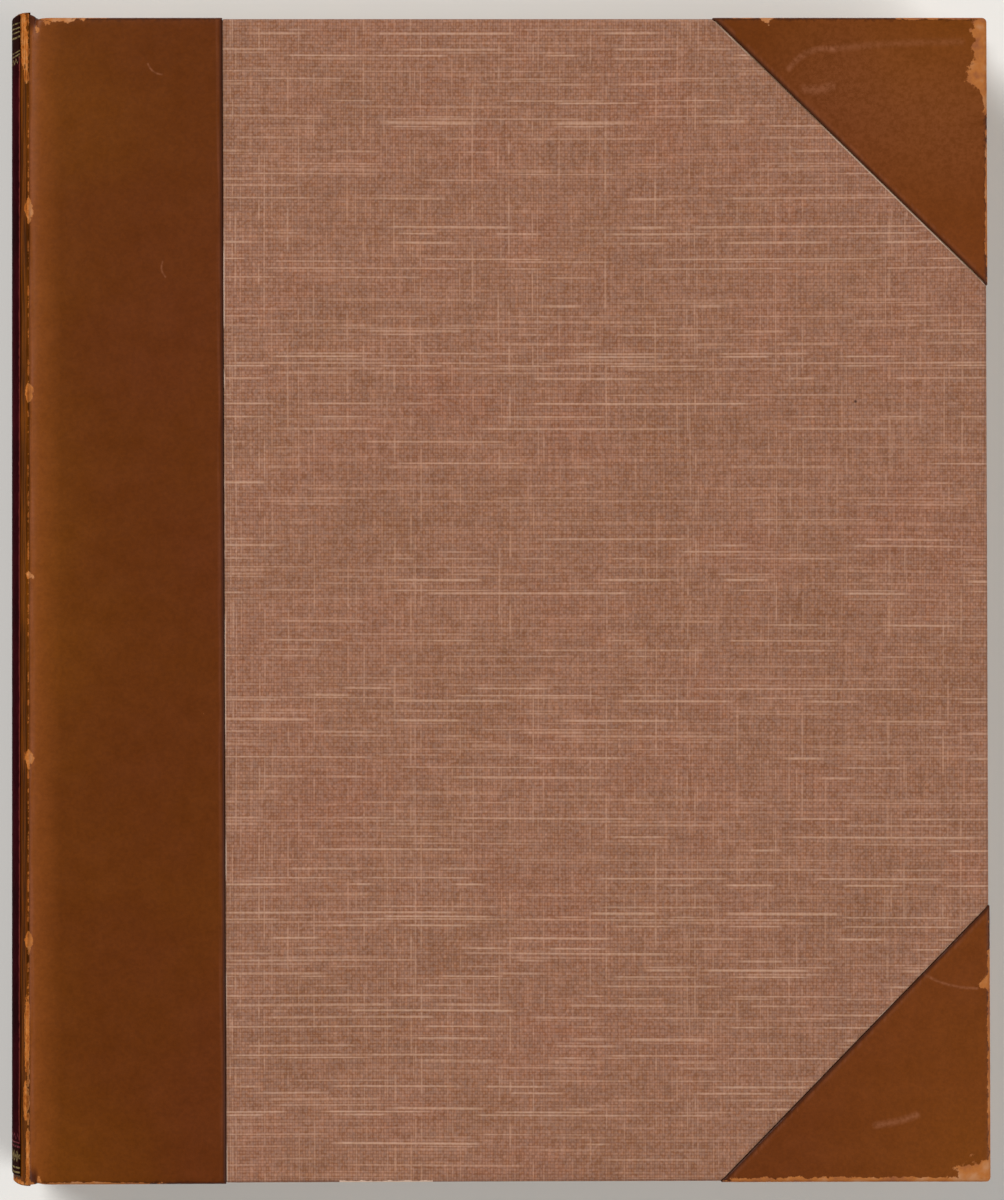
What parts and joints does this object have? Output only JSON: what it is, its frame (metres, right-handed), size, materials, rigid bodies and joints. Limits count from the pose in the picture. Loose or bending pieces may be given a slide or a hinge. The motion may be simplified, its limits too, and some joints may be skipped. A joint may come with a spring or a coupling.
{
  "type": "half-leather book",
  "caption": "Closed antique quarto volume in a half-leather binding: brown calf spine and corners, slubbed cloth sides, lengthwise spine label, covers that open on leather joints.",
  "frame": {"origin": "centre of the base of the book's bounding box, on the plane that it rests on", "axes": "+X from the spine to the fore-edge, +Y from the tail to the head, +Z from the rear cover to the front cover"},
  "size_m": [0.2143, 0.2554, 0.03],
  "materials": {
    "leaves": "matte",
    "endpaper": "matte",
    "kraft_paper": "matte",
    "silk_thread": "satin",
    "maroon_leather": "satin",
    "flax_cord": "matte",
    "pulp_board": "matte",
    "book_cloth": "matte",
    "brown_calf": "satin"
  },
  "bodies": {
    "leaves": {"text_block": "leaves", "front_flyleaf": "endpaper", "rear_flyleaf": "endpaper", "spine_lining": "kraft_paper", "hollow_tube": "kraft_paper", "head_band": "silk_thread", "tail_band": "silk_thread", "spine_leather": "brown_calf", "spine_label": "maroon_leather", "sewing_cord_1": "flax_cord", "sewing_cord_2": "flax_cord", "sewing_cord_3": "flax_cord", "sewing_cord_4": "flax_cord", "sewing_cord_5": "flax_cord"},
    "front_cover": {"front_board": "pulp_board", "front_leather": "brown_calf", "front_cloth": "book_cloth", "front_head_corner": "brown_calf", "front_tail_corner": "brown_calf", "front_pastedown": "endpaper", "front_slip_1": "flax_cord", "front_slip_2": "flax_cord", "front_slip_3": "flax_cord", "front_slip_4": "flax_cord", "front_slip_5": "flax_cord"},
    "rear_cover": {"rear_board": "pulp_board", "rear_leather": "brown_calf", "rear_cloth": "book_cloth", "rear_head_corner": "brown_calf", "rear_tail_corner": "brown_calf", "rear_pastedown": "endpaper", "rear_slip_1": "flax_cord", "rear_slip_2": "flax_cord", "rear_slip_3": "flax_cord", "rear_slip_4": "flax_cord", "rear_slip_5": "flax_cord"}
  },
  "joints": [
    {"name": "front_cover_hinge", "type": "hinge", "parent": "leaves", "child": "front_cover", "pos_m": [-0.10185, 0, 0.03], "axis": [0, -1, 0], "range_deg": [0, 180]},
    {"name": "rear_cover_hinge", "type": "hinge", "parent": "leaves", "child": "rear_cover", "pos_m": [-0.10185, 0, 0], "axis": [0, 1, 0], "range_deg": [0, 180]}
  ]
}
